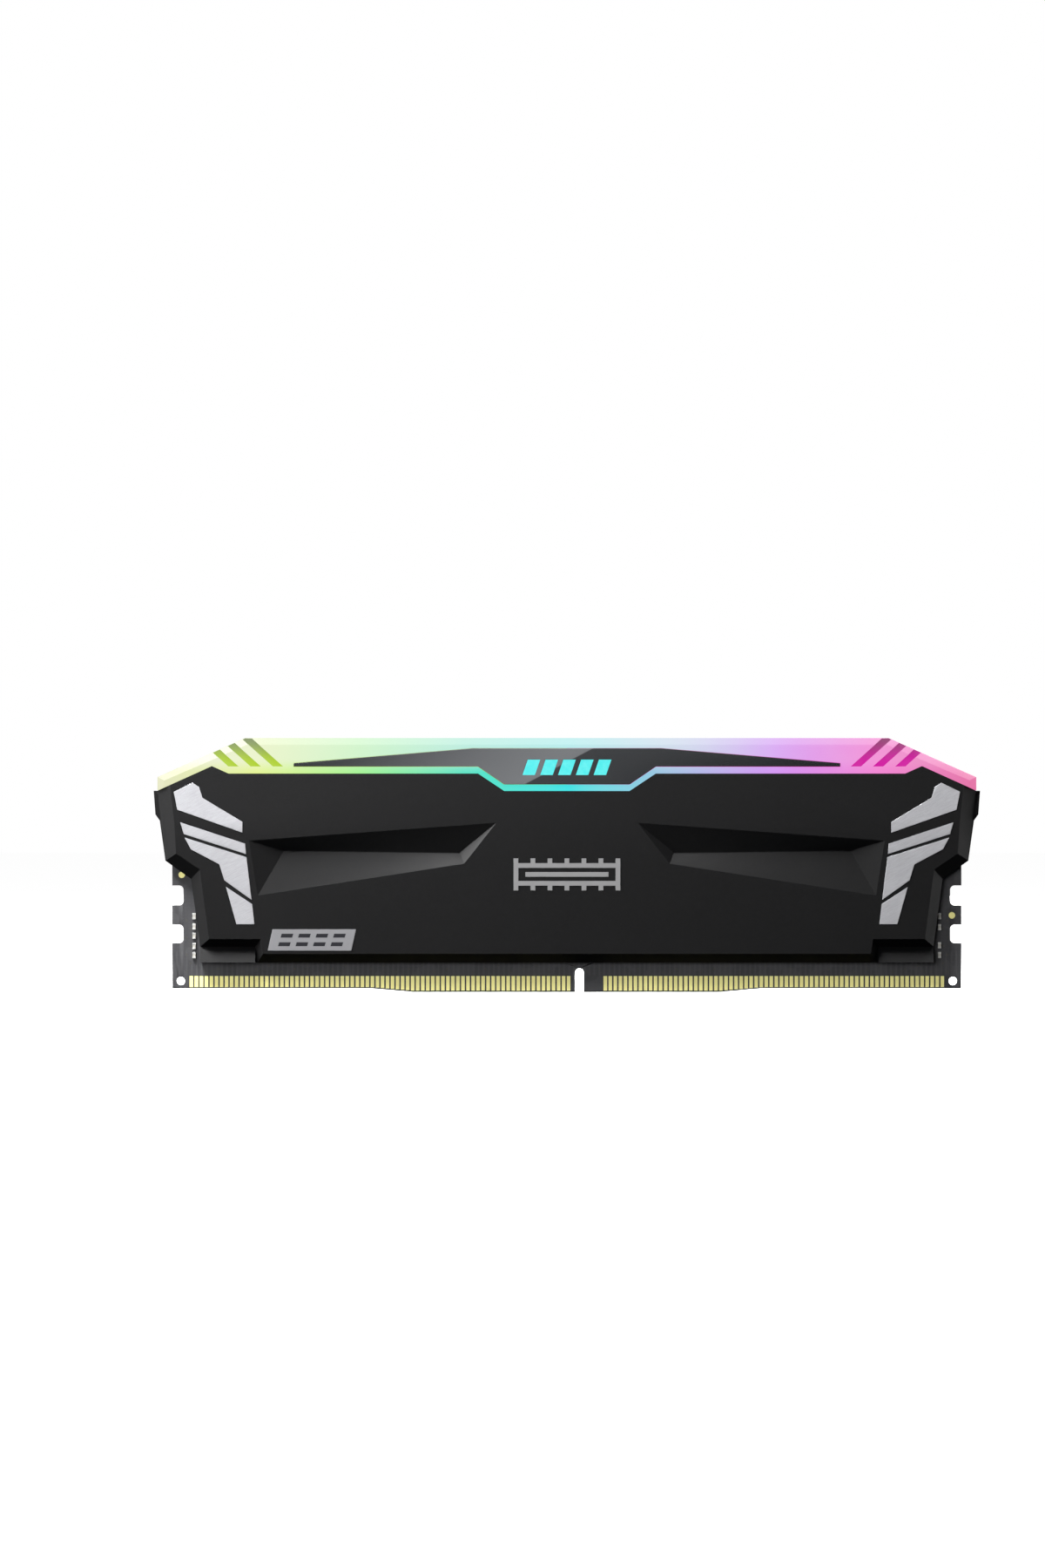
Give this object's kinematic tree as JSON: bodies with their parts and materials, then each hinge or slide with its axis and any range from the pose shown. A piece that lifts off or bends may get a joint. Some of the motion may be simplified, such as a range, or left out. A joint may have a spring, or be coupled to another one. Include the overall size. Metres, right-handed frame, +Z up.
{
  "type": "ram module",
  "caption": "Desktop memory module: circuit board with gold edge contacts and a key notch, held between two black heat spreaders under a lit diffuser bar.",
  "frame": {"origin": "middle of the lowest edge of the circuit board, where it meets the floor of its socket", "axes": "X along the module, +Z up out of the socket, -Y out of the front face"},
  "size_m": [0.1396, 0.0078, 0.0429],
  "materials": {
    "board_mask": "black solder mask over glass-fibre board, satin, faint tracks",
    "contact_gold": "hard gold plating, bright",
    "package_black": "moulded epoxy chip package, matt",
    "ferrite_grey": "pressed ferrite, matt grey",
    "ceramic_tan": "ceramic capacitor body with tinned ends",
    "resistor_black": "chip resistor with tinned ends",
    "emitter_lens": "clear lens over a lit emitter",
    "pad_grey": "soft silicone thermal pad",
    "spreader_black": "aluminium, fine bead-blasted and black anodised, worn lighter on its edges",
    "bar_diffuser": "milky diffuser lit from inside, yellow-green to cyan to violet to pink along its length",
    "plate_smoked": "smoked glossy panel",
    "window_cyan": "clear window lit cyan",
    "slip_silver": "silver foil, fine brushed, satin",
    "badge_silver": "satin silver foil with dark slanted dashes",
    "print_grey": "grey printed ink",
    "label_grey": "blank paper-backed foil label"
  },
  "bodies": {
    "root": {"circuit_board": "board_mask", "contacts_front_long": "contact_gold", "contacts_front_short": "contact_gold", "contacts_back_long": "contact_gold", "contacts_back_short": "contact_gold", "ground_pads": "contact_gold", "dram_chip_1": "package_black", "dram_chip_2": "package_black", "dram_chip_3": "package_black", "dram_chip_4": "package_black", "dram_chip_5": "package_black", "dram_chip_6": "package_black", "dram_chip_7": "package_black", "dram_chip_8": "package_black", "power_controller": "package_black", "configuration_hub": "package_black", "light_controller": "package_black", "power_inductors": "ferrite_grey", "supply_capacitors": "ceramic_tan", "chip_capacitors": "ceramic_tan", "back_capacitors": "ceramic_tan", "edge_components_left": "ceramic_tan", "edge_components_right": "ceramic_tan", "chip_resistors": "resistor_black", "light_emitters": "emitter_lens", "thermal_pad_front_left": "pad_grey", "thermal_pad_front_right": "pad_grey", "thermal_pad_back_left": "pad_grey", "thermal_pad_back_right": "pad_grey", "thermal_pad_power": "pad_grey", "spreader_front": "spreader_black", "spreader_back": "spreader_black", "light_bar": "bar_diffuser", "nameplate_front": "plate_smoked", "nameplate_back": "plate_smoked", "mark_windows_front": "window_cyan", "mark_windows_back": "window_cyan", "silver_slips_front_left": "slip_silver", "silver_slips_front_right": "slip_silver", "silver_slips_back_left": "slip_silver", "silver_slips_back_right": "slip_silver", "badge_front": "badge_silver", "badge_back": "badge_silver", "emblem": "print_grey", "rating_label": "label_grey"}
  },
  "joints": []
}
